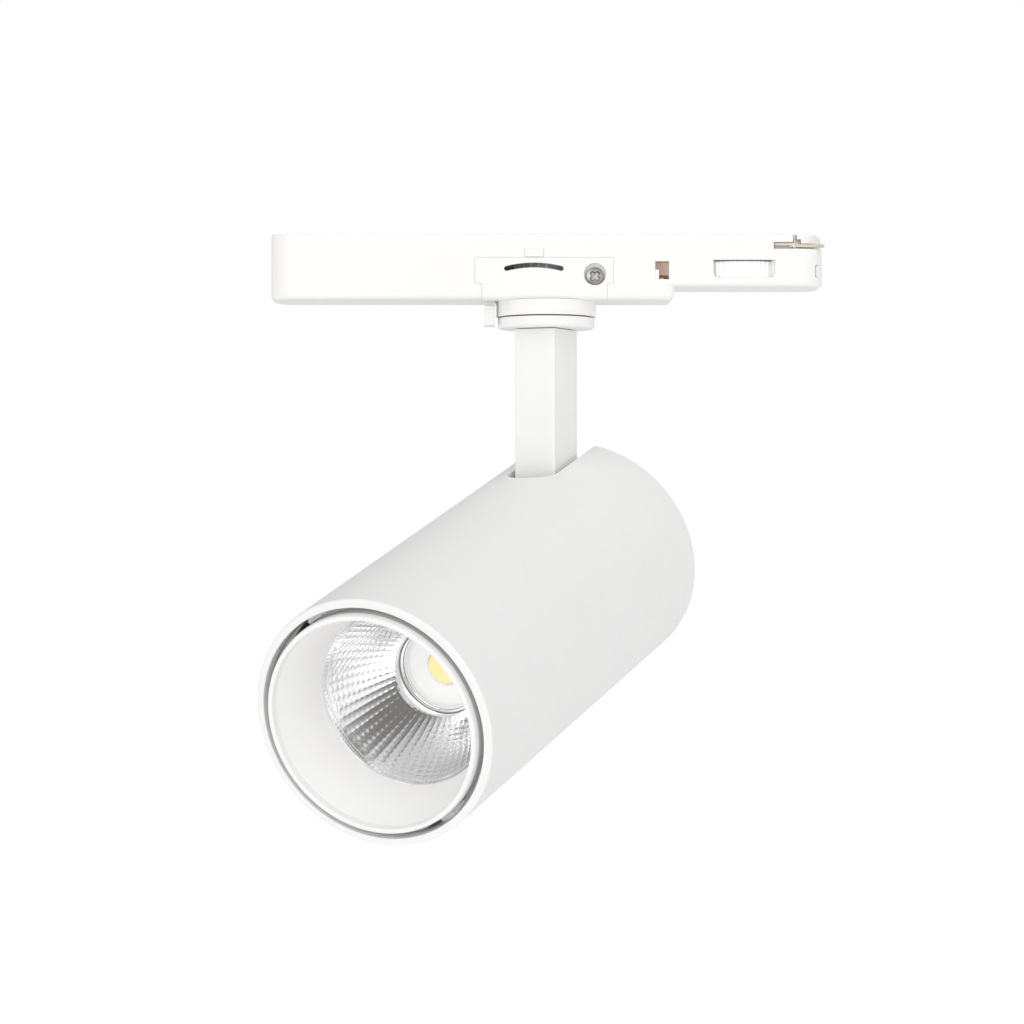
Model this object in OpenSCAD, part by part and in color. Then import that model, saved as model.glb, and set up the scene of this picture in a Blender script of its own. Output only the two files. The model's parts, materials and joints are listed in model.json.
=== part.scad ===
// Track spotlight: an in-track adapter that holds the driver, a panning stem and a tilting tube head.
// Origin: on the swivel axis, 1.9 mm below the underside of the adapter's deep section.
// +X runs along the track, +Z up, and -Y is the side with the selector and the tension screw.

/* [Adapter] */
// Length of the adapter along the track
adapter_len = 225; // [223:0.5:230]
// Distance from the adapter's left end to the swivel axis
swivel_from_left = 112.4; // [111:0.2:114]
// Width of the adapter across the track
adapter_w = 34; // [34:0.2:35]
// Height of the deep section, which holds the driver
adapter_h = 26.6; // [26.4:0.1:27.4]
// Distance from the swivel axis to the step where the housing becomes shallow
deep_right = 52; // [52:0.2:53]
// How far the shallow contact section's floor sits above the deep one's
step_h = 5.5; // [5.2:0.1:5.6]
// Housing wall and floor thickness
wall = 2; // [1.8:0.1:2]

/* [Swivel and stem] */
// Diameter of the fixed collar under the adapter
collar_d = 40.8; // [40.4:0.2:41.6]
// Diameter of the ring that turns with the stem
ring_d = 39.6; // [38:0.2:41]
// Stem size across the head
stem_w = 18; // [16:0.2:18]
// Stem size along the head
stem_d = 22.4; // [21:0.2:22.6]
// Distance from the origin down to the tilt pivot
pivot_drop = 83.4; // [80:0.2:100]

/* [Head] */
// Outside diameter of the head
head_d = 98; // [97:0.5:100]
// Distance from the tilt pivot to the front rim
front_len = 167.2; // [165:0.2:180]
// Distance from the tilt pivot to the rear end
rear_len = 32; // [31:0.2:34]
// Height of the tilt pivot above the tube's axis
pivot_lift = 30; // [29.5:0.1:30]
// Width of the slot that the stem passes through
slot_w = 21.6; // [21.6:0.1:22.4]
// Number of cooling fins on the heat sink
fin_count = 20; // [12:2:24]

/* [Aim] */
// Pan angle of the head at rest, from square across the track
pan_rest = 26.8; // [0:0.2:60]
// Tilt angle of the head at rest, below level
tilt_rest = 18.5; // [0:0.5:70]

/* [Hidden] */
$fn = 64;
hull_fn = 32;            // facets on the blended outer corners
fit = 0.05;              // running clearance on a radius
gap = 0.06;              // gap between fixed mouldings
left_x = -swivel_from_left;
right_x = adapter_len - swivel_from_left;
half_w = adapter_w / 2;
inner_y = half_w - wall;
under_z = 1.9;           // undersides of the two sections, their floors inside, and the top
step_z = under_z + step_h;
floor_z = under_z + wall;
step_floor = step_z + wall;
top_z = under_z + adapter_h;
end_r = 10;              // plan radius of the adapter's ends
edge_r = 1.4;            // rounding along the adapter's lower edges
cover_t = 2;
cover_z = top_z - cover_t;
// Swivel block, whose T-shaped front fills a cut-out in the housing
tee_top = [-29.3, 27];
tee_foot = [-26.5, 24.5];
tee_z = [8.4, 18.9];
flange_z = floor_z + 1.5;    // top of the block's flange
hub_r = 12;
neck_r = 8;
drum_r = 13;
cable_bore_r = 4;
collar_z = -4.35;
ring_z = [-9.2, -4.85];
band_z = [5.5, 9.6];         // clamp band around the hub
drum_z = [10.2, 18];
screw_x = 19.5;
screw_z = 11.35;
screw_hole_z = 12.1;     // the hole in front of the screw sits a little high
seat_y = -14.6;          // where the tension screw's head rests
stop_r = 14.9;
// Arc window that shows the pan scale: its middle and its radius
arc_x = -5.3;
arc_z = 15.8;
arc_r = 45;
// Selector and contacts
sel_x = 79.9;
sel_y = 10.4;
sel_z = [10.9, 17.5];
sel_r = 27;
sel_half = 47;           // half of the wheel's sector angle
window_x = [67.6, 92.8];
blade_x = 100.9;
blade_y = -13.6;
blade_z = 23.3;
blade_t = 1.2;
pin_r = 0.8;
notch_x = 92.2;
notch_z = [22.5, 25.3];
earth_x = [44, 49.6];
neutral_x = [58, 64];
// Release slider and track catches
tab_x = [-25.4, -21];
catch_x = [-9, -1.4];
catch_z = [19.15, 22.2];
catch_pin_y = 13.5;
catch_travel = [1.5, 2.5];   // inward travel of a catch, downward travel of the slider
plate_x = [-11.2, -9.6];
// Driver board
board_x = [-100.5, -38];
board_w = 27;
board_z = 5;
board_t = 1.6;
board_top = board_z + board_t;
lead_x = [-37.5, 41.5];
// Head, in its own frame: origin at the tilt pivot, +X towards the light's front
head_r = head_d / 2;
head_wall = 3.2;
head_edge_r = 1.2;        // rounding of the tube's outer edges
bore_r = head_r - head_wall;
slot_end_x = 6;
sink_x = [24, front_len - 65.7];
sink_r = bore_r - 0.1;
core_r = 20;
les_x = front_len - 62.4;
post_places = [[34, 10], [-34, 10], [0, -37]];
cap_x = [-rear_len + 2.5, -rear_len + 5.5];
bolt_r = 3;
cheek_y = stem_w / 2 + 1.1;
cheek_t = 3;

// ---------- helpers ----------

// Box between two corners
module box(lo, hi) { translate(lo) cube(hi - lo); }

// Cylinders along +X and +Y, starting at the current place
module rod_x(r, h) { rotate([0, 90, 0]) cylinder(r = r, h = h); }
module rod_y(r, h) { rotate([-90, 0, 0]) cylinder(r = r, h = h); }

// Rectangle from x0 to x1, centred on Y, with its own corner radius at each end
module plan(x0, x1, w, r0, r1) {
    translate([x0 + r0, -w / 2]) square([x1 - x0 - r0 - r1, w]);
    translate([x0, -w / 2 + r0]) square([r0, w - 2 * r0]);
    translate([x1 - r1, -w / 2 + r1]) square([r1, w - 2 * r1]);
    for (s = [-1, 1]) {
        translate([x0 + r0, s * (w / 2 - r0)]) circle(r0);
        translate([x1 - r1, s * (w / 2 - r1)]) circle(r1);
    }
}

// Round corner post with a rounded lower edge
module corner_post(x, y, r, edge, z0, z1) {
    translate([x, y, 0]) rotate_extrude($fn = 2 * hull_fn) polygon(concat(
        [[0, z1], [0, z0]],
        [for (t = [0:15:90]) [r - edge + edge * sin(t), z0 + edge - edge * cos(t)]],
        [[r, z1]]));
}

// Outside shape of the adapter, without its openings
module adapter_form() {
    right_r = 4;
    hull() for (s = [-1, 1]) {
        corner_post(left_x + end_r, s * (half_w - end_r), end_r, edge_r, under_z, top_z);
        corner_post(deep_right - right_r, s * (half_w - right_r), right_r, 2.2, under_z, top_z);
    }
    hull() for (s = [-1, 1]) {
        corner_post(deep_right - 12, s * (half_w - right_r), right_r, edge_r, step_z, top_z);
        corner_post(right_x - end_r, s * (half_w - end_r), end_r, edge_r, step_z, top_z);
    }
}

// The space that the swivel block takes up in the housing, grown by g
module block_space(g) {
    box([tee_top[0] - g, -half_w - 1, tee_z[0] - g], [tee_top[1] + g, -inner_y, tee_z[1] + g]);
    box([tee_foot[0] - g, -half_w - 1, -1], [tee_foot[1] + g, -inner_y, tee_z[0]]);
    box([tee_foot[0] - g, -half_w - 1, -1], [tee_foot[1] + g, inner_y - gap + g, floor_z]);
}

// Arc-shaped window with round ends, cut along Y
module arc_window(w, r, half, depth) {
    rotate([90, 0, 0]) {
        rotate([0, 0, 90 - half]) rotate_extrude(angle = 2 * half, $fn = 360)
            translate([r - w / 2, 0]) square([w, depth]);
        for (s = [-1, 1]) rotate([0, 0, 90 + s * half]) translate([r, 0, 0]) cylinder(r = w / 2, h = depth);
    }
}

// Pan-head screw pointing down, with its head's underside at the origin and a cross recess
module pan_screw(shank_r, len, head_r, head_h) {
    difference() {
        union() {
            cylinder(r = head_r, h = head_h * 0.45);
            translate([0, 0, head_h * 0.45]) cylinder(r1 = head_r, r2 = head_r * 0.72, h = head_h * 0.55);
            translate([0, 0, -len]) cylinder(r = shank_r, h = len);
        }
        for (a = [45, 135]) rotate([0, 0, a]) translate([-head_r * 0.5, -head_r * 0.13, head_h * 0.35])
            cube([head_r, head_r * 0.26, head_h]);
    }
}

// Square-ended slot for a pin of radius r that moves from p to q in the YZ plane, cut along X
module slot_x(p, q, r, h) {
    d = q - p;
    translate([0, p[0], p[1]]) rotate([atan2(d[1], d[0]), 0, 0])
        translate([0, -r, -r]) cube([h, norm(d) + 2 * r, 2 * r]);
}

// Coil of round wire standing on z = 0
module coil(r, wire, h, turns) {
    sides = 8;
    steps = 14 * turns;
    rise = h - 2 * wire;
    pts = [for (i = [0:steps], j = [0:sides - 1])
        let (a = 360 * turns * i / steps, b = 360 * j / sides, q = r + wire * cos(b))
        [q * cos(a), q * sin(a), wire + rise * i / steps + wire * sin(b)]];
    walls = [for (i = [0:steps - 1], j = [0:sides - 1])
        let (k = (j + 1) % sides)
        [i * sides + j, (i + 1) * sides + j, (i + 1) * sides + k, i * sides + k]];
    caps = [[for (j = [0:sides - 1]) j], [for (j = [sides - 1:-1:0]) steps * sides + j]];
    polyhedron(points = pts, faces = concat(walls, caps), convexity = 10);
}

// Place things on the stem (turned by the pan angle) and in the head (pan and tilt)
module on_stem() { rotate([0, 0, -90 - pan_rest]) children(); }
module on_head() { on_stem() translate([0, 0, -pivot_drop]) rotate([0, tilt_rest, 0]) children(); }
// The tube's axis inside the head
module on_axis() { on_head() translate([0, 0, -pivot_lift]) children(); }
// Body of revolution about the tube's axis, from points [radius, distance behind the front rim]
module turned(points) {
    on_axis() translate([front_len, 0, 0]) rotate([0, -90, 0]) rotate_extrude($fn = 128) polygon(points);
}

// ---------- adapter ----------

cover_places = [[left_x + 8, 8], [left_x + 8, -8], [56, 11.2], [56, -11.2]];
board_places = [[-97.5, 10], [-97.5, -10], [-42, 10], [-42, -10]];

module adapter_housing() color("white") {
    difference() {
        adapter_form();
        translate([0, 0, floor_z]) linear_extrude(top_z)
            plan(left_x + wall, deep_right - wall, adapter_w - 2 * wall, end_r - wall, wall);
        translate([0, 0, step_floor]) linear_extrude(top_z)
            plan(deep_right - 12, right_x - wall, adapter_w - 2 * wall, wall, end_r - wall);
        block_space(gap);
        // contact windows on both sides
        box([earth_x[0], -half_w - 1, 10.1], [earth_x[1], -inner_y + 1, 17.4]);
        box([neutral_x[0], inner_y - 1, 10.1], [neutral_x[1], half_w + 1, 17.4]);
        // selector window, with its lower corners cut across
        translate([0, -inner_y + 1, 0]) rotate([90, 0, 0]) linear_extrude(wall + 2)
            polygon([[window_x[0], 18], [window_x[0], 12.4], [window_x[0] + 1.2, 10.8],
                     [window_x[1] - 1.2, 10.8], [window_x[1], 12.4], [window_x[1], 18]]);
        // outline of the end cover's latch
        difference() {
            box([109.4, -17, 11.2], [111.6, -12.4, 16.1]);
            box([109.6, -18, 11.4], [111.8, -12, 15.9]);
        }
        // notch for the phase blade at the right end, open at the top beyond the blade's pin
        box([notch_x, -half_w - 1, notch_z[0]], [right_x + 1, -3, notch_z[1]]);
        box([blade_x - pin_r - 0.1, -half_w - 1, notch_z[0]], [right_x + 1, -3, top_z + 1]);
        // end notch on the left, windows for the catches
        box([left_x - 1, -8.5, 14.1], [left_x + 0.9, 8.5, 20.7]);
        for (s = [-1, 1]) box([catch_x[0] - gap, s * 16 - 2, catch_z[0] - gap],
                              [catch_x[1] + gap, s * 16 + 2, catch_z[1] + gap]);
        // blind screw holes in the floor
        for (x = [-33, 31]) translate([x, 0, under_z + 0.5]) cylinder(r = 1.45, h = wall);
        for (p = board_places) translate([p[0], p[1], under_z + 0.5]) cylinder(r = 1.3, h = wall);
    }
    // screw posts, each joined to the floor
    for (p = cover_places) screw_post(p, 3.2, cover_z - 0.05, p[0] > deep_right ? step_z : under_z, 10);
    for (p = board_places) screw_post(p, 2.8, board_z - 0.02, under_z, 2.6);
    // screen behind the blade
    box([notch_x - 2, -9.4, 19], [right_x - 1.4, -8.4, cover_z - 0.1]);
    // guide behind the selector's window, which leaves only a thin gap around the wheel's rim
    difference() {
        box([window_x[0] - 3, -inner_y - 0.5, sel_z[0] - 0.9], [window_x[1] + 3, -9.5, sel_z[1] + 1.2]);
        box([window_x[0], -half_w, 0], [window_x[1], -inner_y + 0.5, top_z]);
        translate([sel_x, sel_y, 0]) cylinder(r = sel_r + 0.45, h = top_z, $fn = 128);
    }
    // pivot post of the selector
    translate([sel_x, sel_y, step_z + 1]) difference() {
        cylinder(r = 3.6, h = sel_z[0] - step_z - 1.1);
        translate([0, 0, 1]) cylinder(r = 2 + fit / 2, h = 20);
    }
}

// Post with a blind screw hole in its top
module screw_post(p, r, top, under, depth) {
    translate([p[0], p[1], under + 1]) difference() {
        cylinder(r = r, h = top - under - 1);
        translate([0, 0, top - under - 1 - depth]) cylinder(r = 1.3, h = depth + 1);
    }
}

module cover_plan() {
    plan(left_x + wall + gap, right_x - wall - gap, adapter_w - 2 * wall - 2 * gap, 7.8, 7.8);
}

module adapter_cover() color("whitesmoke") difference() {
    union() {
        translate([0, 0, cover_z]) linear_extrude(cover_t) cover_plan();
        // lip over the end of the phase blade
        intersection() {
            translate([0, 0, blade_z + blade_t + 0.3]) linear_extrude(5) cover_plan();
            box([blade_x + 2.6, -half_w, 20], [right_x, -9.6, cover_z + 1]);
        }
    }
    for (p = cover_places) translate([p[0], p[1], cover_z - 1]) {
        cylinder(r = 1.6, h = 10);
        translate([0, 0, 1.6]) cylinder(r = 3.2, h = 10);
    }
    box([blade_x - pin_r - 0.1, -half_w, cover_z - 1], [blade_x + pin_r + 0.1, blade_y + 1.2, top_z + 1]);
}

module cover_screws() color("silver") for (p = cover_places)
    translate([p[0], p[1], cover_z + 0.65]) pan_screw(1.25, 9, 2.8, 1.2);

module swivel_block() color("white") {
    difference() {
        union() {
            intersection() {
                adapter_form();
                block_space(0);
            }
            // flange that rests on the housing's floor
            box([-36, -9, floor_z + 0.02], [34, 9, flange_z]);
            box([tee_foot[0], -inner_y, floor_z - 0.1], [tee_foot[1], inner_y - gap, flange_z]);
            translate([0, 0, collar_z]) cylinder(r = collar_d / 2, h = under_z - collar_z, $fn = 128);
            // pan stop
            translate([-stop_r, 0, 1]) cylinder(r = 0.8, h = 12.5);
            // seat of the tension screw
            translate([screw_x, -inner_y - 0.2, screw_hole_z]) rod_y(5.6, 1.7);
        }
        translate([0, 0, -10]) cylinder(r = hub_r + fit, h = 20, $fn = 96);
        translate([arc_x, 0, arc_z - arc_r]) arc_window(2, arc_r, 14.3, 40);
        translate([screw_x, -half_w - 1, screw_hole_z]) rod_y(4.5, half_w + 1 + seat_y);
        translate([screw_x, -half_w - 1, screw_z]) rod_y(2.1, 10);
        box([tab_x[0] - gap, -6.2, -1], [tab_x[1] + gap, 6.2, 10]);
        for (x = [-33, 31]) translate([x, 0, 0]) cylinder(r = 1.6, h = 10);
    }
}

module block_screws() color("silver") for (x = [-33, 31])
    translate([x, 0, flange_z + 0.01]) pan_screw(1.4, 2.8, 2.8, 1.9);

// Split ring around the hub; the tension screw draws its two ears together
module clamp_band() color("dimgray") difference() {
    union() {
        translate([0, 0, band_z[0]]) cylinder(r = 13.6, h = band_z[1] - band_z[0]);
        for (s = [-1, 1]) {
            box([hub_r, s * 3.5 - 2, band_z[0]], [23.4, s * 3.5 + 2, band_z[1]]);
            box([15.4, s * 3.5 - 2, band_z[0]], [23.4, s * 3.5 + 2, 16]);
        }
    }
    cylinder(r = hub_r + fit, h = 20, $fn = 96);
    box([0, -1.5, 3], [30, 1.5, 20]);
    translate([screw_x, -10, screw_z]) rod_y(2 + fit, 30);
}

module tension_screw() color("gray") translate([screw_x, seat_y - 0.02, screw_z]) rotate([90, 0, 0])
    pan_screw(2, 20, 3.7, 2.1);

module driver_board() color("darkgreen") difference() {
    box([board_x[0], -board_w / 2, board_z], [board_x[1], board_w / 2, board_top]);
    for (p = board_places) translate([p[0], p[1], 0]) cylinder(r = 1.6, h = 20);
}

module board_screws() color("silver") for (p = board_places)
    translate([p[0], p[1], board_top + 0.02]) pan_screw(1.2, 4, 2.4, 1.5);

module transformer_core() color("dimgray") translate([-68, 0, board_top + 0.02]) difference() {
    box([-10, -9, 1], [10, 9, 17]);
    box([-6.6, -10, 3.5], [6.6, 10, 14.5]);
}

module transformer_winding() color("goldenrod") translate([-68, 0, board_top + 0.02]) difference() {
    box([-6.5, -11, 3.6], [6.5, 11, 14.4]);
    translate([0, 0, 9]) rotate([90, 0, 0]) cylinder(r = 2, h = 30, center = true);
}

module electrolytic_capacitors() color("darkslategray") {
    for (p = [[-90, 6.2], [-90, -6.2]]) can(p, 5, 17);
    can([-52.6, 7.5], 4, 13);
}
module can(place, r, h) translate([place[0], place[1], board_top + 0.02]) {
    cylinder(r = r, h = h);
    translate([0, 0, h]) cylinder(r = r - 0.6, h = 0.3);
}

module film_capacitors() color("khaki") {
    box([-84, 1, board_top + 0.02], [-80, 12, board_top + 10]);
    box([-84, -12, board_top + 0.02], [-80, -1, board_top + 10]);
    box([-56, -12, board_top + 0.02], [-52, -3, board_top + 9]);
}

module inductor() color("saddlebrown") translate([-47, -4.5, board_top + 0.02]) {
    cylinder(r = 3.6, h = 1);
    cylinder(r = 2.6, h = 9);
    translate([0, 0, 8]) cylinder(r = 3.6, h = 1);
}

module power_transistor() color("black") box([-78.8, -6, board_top + 0.02], [-78.8 + 0.6, 6, board_top + 14]);

module terminal_block() color("white") difference() {
    box([-47, 0.5, board_top + 0.02], [-40.5, 7, board_top + 8]);
    for (y = [2.2, 5.3]) translate([-50, y, board_top + 4.5]) rod_x(0.9, 20);
}

// Bent copper spring that reaches the track's conductor through the window between x[0] and x[1];
// its foot stands on the floor between foot[0] and foot[1]
module leaf_contact(x, foot, base) {
    sheet = 0.7;
    back_y = -inner_y + 0.2;
    panel_z = step_floor + 0.3;
    box([foot[0], back_y, base + 0.1], [foot[1], back_y + sheet, panel_z + 1]);
    box([foot[0], back_y, base + 0.1], [foot[1], -6, base + 0.1 + sheet]);
    box([x[0] - 0.3, back_y, panel_z], [x[1] + 0.3, back_y + sheet, 19]);
    box([x[0] + 0.3, -inner_y - 1.2, 12], [x[1] - 0.3, -inner_y + 0.3, 15.5]);
}

module earth_contact() color("peru") leaf_contact(earth_x, [42.4, 47.6], floor_z);
module neutral_contact() color("peru") mirror([0, 1, 0])
    leaf_contact(neutral_x, [60.4, 64.4], step_floor);

module supply_leads() color("firebrick") for (z = [6.1, 7.6])
    translate([lead_x[0], inner_y - 0.7, z]) rod_x(0.6, lead_x[1] - lead_x[0]);

// Thumbwheel sector with finger ribs on its rim
module selector_wheel() color("white") translate([sel_x, sel_y, sel_z[0]]) difference() {
    h = sel_z[1] - sel_z[0];
    rib = 4.2;                    // angle between ribs
    union() {
        cylinder(r = 4.4, h = h);
        rotate([0, 0, -90 - sel_half]) rotate_extrude(angle = 2 * sel_half, $fn = 128)
            polygon([[3, 1.5], [sel_r - 4, 1.5], [sel_r - 4, 0], [sel_r - 0.5, 0], [sel_r - 0.5, h],
                     [sel_r - 4, h], [sel_r - 4, h - 1.5], [3, h - 1.5]]);
        for (a = [-sel_half + rib / 2:rib:sel_half - rib / 2]) rotate([0, 0, a - 90])
            translate([sel_r - 1, 0, 0]) cylinder(r = 0.95, h = h, $fn = 16);
    }
    translate([0, 0, -1]) cylinder(r = 2 + fit, h = 20);
}

module selector_pin() color("silver") translate([sel_x, sel_y, step_z + 2.1]) {
    cylinder(r = 2, h = sel_z[1] - step_z - 1.9);
    translate([0, 0, sel_z[1] - step_z - 1.9]) cylinder(r = 3.4, h = 1);
}

// Flat blade on its pin; a second leaf stands higher on the side away from the end
module phase_blade() color("peru") translate([blade_x, blade_y, blade_z]) difference() {
    union() {
        cylinder(r = 2, h = 1.7);
        linear_extrude(blade_t) polygon([[-2.2, -1.2], [0, -1.9], [9, -1.2], [12.2, -0.4], [12.2, 0.4],
                                         [9, 1.2], [0, 1.9], [-2.2, 1.2]]);
        translate([0, 0, 0.7]) linear_extrude(1) polygon([[-8.2, -1.3], [0, -1.9], [0, 1.9], [-8.2, -0.4]]);
    }
    translate([0, 0, -1]) cylinder(r = pin_r + fit, h = 4);
}

module blade_pin() color("tan") translate([blade_x, blade_y, step_floor + 0.02])
    cylinder(r = pin_r, h = top_z - step_floor - 0.1);

// Pull tab, its inner arm, and a cross plate with a slanted slot for each catch
module release_slider() color("white") {
    arm_top = cover_z - 0.5;
    difference() {
        union() {
            box([tab_x[0], -6, -7.9], [tab_x[1], 6, 0]);
            box([tab_x[0], -5, -1], [tab_x[1], 5, arm_top]);
            box([tab_x[0], -4, arm_top - 1.6], [plate_x[0] + 0.1, 4, arm_top]);
            box([plate_x[0], -10, 21], [plate_x[1], 10, arm_top]);
            for (s = [-1, 1]) box([plate_x[0], s * 12.2 - 2.4, 18.6], [plate_x[1], s * 12.2 + 2.4, arm_top]);
        }
        for (s = [-1, 1]) translate([plate_x[0] - 1, 0, 0])
            slot_x([s * catch_pin_y, catch_pin_z()],
                   [s * (catch_pin_y - catch_travel[0]), catch_pin_z() + catch_travel[1]], 0.8 + fit, 4);
    }
}
function catch_pin_z() = (catch_z[0] + catch_z[1]) / 2;

module latch_spring() color("silver") translate([-18.4, 0, flange_z + 0.02])
    coil(2, 0.35, cover_z - 2.1 - flange_z - 0.06, 8);

module track_catch() {
    box([catch_x[0], -half_w - 0.6, catch_z[0]], [catch_x[1], -12.4, catch_z[1]]);
    translate([plate_x[0] - 0.4, -catch_pin_y, catch_pin_z()]) rod_x(0.8, catch_x[0] + 1 - plate_x[0]);
}
module front_catch() color("white") track_catch();
module rear_catch() color("white") mirror([0, 1, 0]) track_catch();

// ---------- swivel and stem ----------

module swivel_ring() color("white") difference() {
    r = ring_d / 2;
    rotate_extrude($fn = 128) polygon(concat(
        [[0, ring_z[1]], [0, ring_z[0]]],
        [for (t = [0:15:90]) [r - 1.2 + 1.2 * sin(t), ring_z[0] + 1.2 - 1.2 * cos(t)]],
        [[r, ring_z[1]]]));
    translate([0, 0, ring_z[0] + 1.5]) cylinder(r = hub_r + fit, h = 20, $fn = 96);
    translate([0, 0, -20]) cylinder(r = cable_bore_r, h = 20);
    on_stem() for (s = [-1, 1]) translate([s * 7.4, 0, -20]) cylinder(r = 1.6, h = 30);
}

module swivel_hub() color("silver") difference() {
    union() {
        translate([0, 0, ring_z[0] + 1.52]) cylinder(r = hub_r, h = drum_z[0] - 0.2 - ring_z[0] - 1.52, $fn = 96);
        translate([0, 0, 9]) cylinder(r = neck_r, h = 13);
    }
    translate([0, 0, -20]) cylinder(r = cable_bore_r, h = 60);
    on_stem() for (s = [-1, 1]) translate([s * 7.4, 0, -20]) {
        cylinder(r = 1.6, h = 60);
        translate([0, 0, 20]) cylinder(r = 3, h = 60);
    }
}

module friction_washer() color("black") translate([0, 0, ring_z[1] + 0.02]) difference() {
    cylinder(r = 17, h = collar_z - ring_z[1] - 0.06);
    translate([0, 0, -1]) cylinder(r = hub_r + 0.3, h = 10);
}

// Dark drum with a raised pan scale, seen through the arc window; its lug meets the pan stop
module scale_drum() color("darkslategray") difference() {
    union() {
        translate([0, 0, drum_z[0]]) cylinder(r = drum_r, h = drum_z[1] - drum_z[0], $fn = 128);
        rotate([0, 0, -pan_rest]) translate([0, 0, drum_z[0]]) linear_extrude(3)
            polygon([[12, -1], [14.7, -1], [14.7, 1], [12, 1]]);
    }
    cylinder(r = neck_r + fit, h = 30);
    on_stem() for (s = [-1, 1]) translate([s * 7.4, 0, 0]) cylinder(r = 3.2, h = 12);
}

module spring_washer() color("silver") translate([0, 0, drum_z[1] + 0.02]) difference() {
    cylinder(r = 9.2, h = 0.5);
    translate([0, 0, -1]) cylinder(r = neck_r + 0.1, h = 3);
}

module swivel_nut() color("silver") translate([0, 0, drum_z[1] + 0.55]) difference() {
    cylinder(r = 9.3, h = 1.8);
    translate([0, 0, -1]) cylinder(r = neck_r + fit, h = 4);
    for (a = [0:90:270]) rotate([0, 0, a]) box([8.6, -1, 0.6], [12, 1, 3]);
}

module stem() color("white") difference() {
    on_stem() union() {
        translate([0, 0, -pivot_drop]) linear_extrude(pivot_drop + ring_z[0] - 0.35)
            plan(-stem_d / 2, stem_d / 2, stem_w, 0.8, 0.8);
        // spacer under the ring
        translate([0, 0, ring_z[0] - 1]) linear_extrude(0.98)
            plan(1.5 - stem_d / 2, stem_d / 2 - 1.5, stem_w - 3, 0.8, 0.8);
        translate([0, -stem_w / 2, -pivot_drop]) rod_y(stem_d / 2, stem_w);
    }
    on_stem() {
        translate([0, 0, -pivot_drop + 7]) cylinder(r = 4.4, h = pivot_drop);
        translate([0, 0, -pivot_drop + 9]) rod_x(3, 20);
        translate([0, -20, -pivot_drop]) rod_y(bolt_r + fit, 40);
        for (s = [-1, 1]) translate([s * 7.4, 0, ring_z[0] - 15]) cylinder(r = 1.3, h = 40);
    }
}

module stem_screws() color("silver") on_stem() for (s = [-1, 1])
    translate([s * 7.4, 0, 0.02]) pan_screw(1.25, 23, 2.7, 1.8);

module stem_cable() color("white") translate([0, 0, -pivot_drop + 9])
    cylinder(r = 2, h = pivot_drop - 9 + 23);

// ---------- head ----------

module head_tube() color("white") difference() {
    len = rear_len + front_len;
    edge = [head_r - head_edge_r, head_edge_r];
    turned(concat(
        [[bore_r, len], [bore_r, 0]],
        [for (t = [0:15:90]) edge + head_edge_r * [sin(t), -cos(t)]],
        [[head_r, len - 0.5], [head_r - 0.5, len]]));
    // slot for the stem, open at the rear end
    on_axis() {
        translate([slot_end_x, 0, 0]) cylinder(r = slot_w / 2, h = head_r + 1);
        box([-rear_len - 1, -slot_w / 2, 0], [slot_end_x, slot_w / 2, head_r + 1]);
    }
}
module rod_x_fine(r, h) { rotate([0, 90, 0]) cylinder(r = r, h = h, $fn = 180); }

module rear_cap() color("white") on_axis() difference() {
    translate([cap_x[0], 0, 0]) rod_x_fine(bore_r - 0.1, cap_x[1] - cap_x[0]);
    // the stem lies in this slot when the head points straight down
    translate([cap_x[0] - 1, 0, pivot_lift - 5.6]) rod_x(slot_w / 2, 10);
    box([cap_x[0] - 1, -slot_w / 2, pivot_lift - 5.6], [cap_x[1] + 1, slot_w / 2, head_r]);
    for (p = post_places) translate([cap_x[0] - 1, p[0], p[1]]) rod_x(1.7, 10);
}

module cap_posts() color("silver") on_axis() for (p = post_places) translate([cap_x[1] + 0.02, p[0], p[1]])
    difference() {
        rod_x(4, sink_x[0] - cap_x[1] - 0.04);
        translate([-1, 0, 0]) rod_x(1.6, 12);
    }

module cap_screws() color("silver") on_axis() for (p = post_places)
    translate([cap_x[0] - 0.02, p[0], p[1]]) rotate([0, -90, 0]) pan_screw(1.5, 10, 3, 2);

module pivot_bracket() color("lightsteelblue") on_head() {
    reach = sink_x[0] - 0.02;
    for (s = [-1, 1]) translate([0, s * (cheek_y + cheek_t / 2) - cheek_t / 2, 0]) difference() {
        union() {
            rod_y(10.5, cheek_t);
            box([0, 0, -10.5], [reach, cheek_t, 9]);
        }
        translate([0, -1, 0]) rod_y(bolt_r + fit, 10);
    }
    difference() {
        box([reach - 4, -cheek_y - cheek_t, -26], [reach, cheek_y + cheek_t, 9]);
        for (s = [-1, 1]) {
            translate([0, s * 8, -19]) rod_x(1.8, 40);
            // holes for the leads
            translate([0, s * 4.2, 26.7 - pivot_lift]) rod_x(1.5, 40);
        }
    }
}

module bracket_screws() color("silver") on_head() for (s = [-1, 1])
    translate([sink_x[0] - 4.04, s * 8, -19]) rotate([0, -90, 0]) pan_screw(1.6, 14, 3.3, 2.4);

module pivot_bolt() color("silver") on_head() translate([0, -cheek_y - cheek_t - 0.02, 0]) difference() {
    union() {
        rod_y(bolt_r, 2 * (cheek_y + cheek_t) + 6);
        translate([0, -3.5, 0]) rod_y(5, 3.5);
    }
    translate([0, -3.6, 0]) rotate([-90, 0, 0]) cylinder(r = 2.4, h = 2.4, $fn = 6);
}

module pivot_nut() color("silver") on_head() translate([0, cheek_y + cheek_t + 0.02, 0]) difference() {
    rotate([-90, 0, 0]) cylinder(r = 5.7, h = 4.5, $fn = 6);
    translate([0, -1, 0]) rod_y(bolt_r + fit / 2, 10);
}

module pivot_washers() color("black") on_head() for (s = [-1, 1])
    translate([0, s * (stem_w / 2 + 0.55) - 0.5, 0]) difference() {
        rod_y(8, 1);
        translate([0, -1, 0]) rod_y(bolt_r + fit, 3);
    }

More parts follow.
